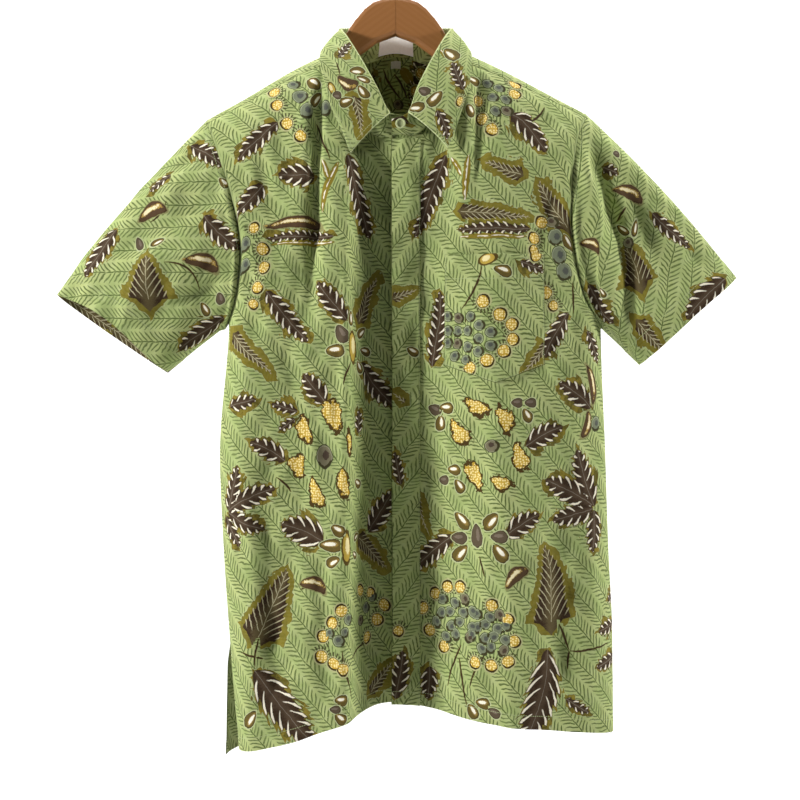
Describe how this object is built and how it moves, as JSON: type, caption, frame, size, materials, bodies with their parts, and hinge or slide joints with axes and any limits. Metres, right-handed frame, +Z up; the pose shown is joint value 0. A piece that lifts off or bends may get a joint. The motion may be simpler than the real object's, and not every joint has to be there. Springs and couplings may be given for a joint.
{
  "type": "batik shirt on a hanger",
  "caption": "Short-sleeved green cotton batik shirt with a turn-down collar, hidden button front, chest pocket and side vents, on a wooden hanger.",
  "frame": {"origin": "inside of the hook's crown, where the rail carries the hanger", "axes": "+Z up along the hanging shirt, +Y towards the back, +X towards the wearer's left"},
  "size_m": [0.784, 0.1243, 0.944],
  "materials": {
    "cloth": "batik-printed cotton, plain weave",
    "button": "polished, slightly clear",
    "label": "woven satin",
    "wood": "satin varnish",
    "steel": "bright plated wire"
  },
  "bodies": {
    "root": {"front_right": "cloth", "front_left": "cloth", "yoke": "cloth", "back": "cloth", "sleeve_right": "cloth", "sleeve_left": "cloth", "collar_stand": "cloth", "collar_leaf": "cloth", "fly_placket": "cloth", "chest_pocket": "cloth", "collar_button": "button", "neck_label": "label", "size_tab": "label", "hanger_arm_right": "wood", "hanger_arm_left": "wood", "hanger_hook": "steel"}
  },
  "joints": []
}
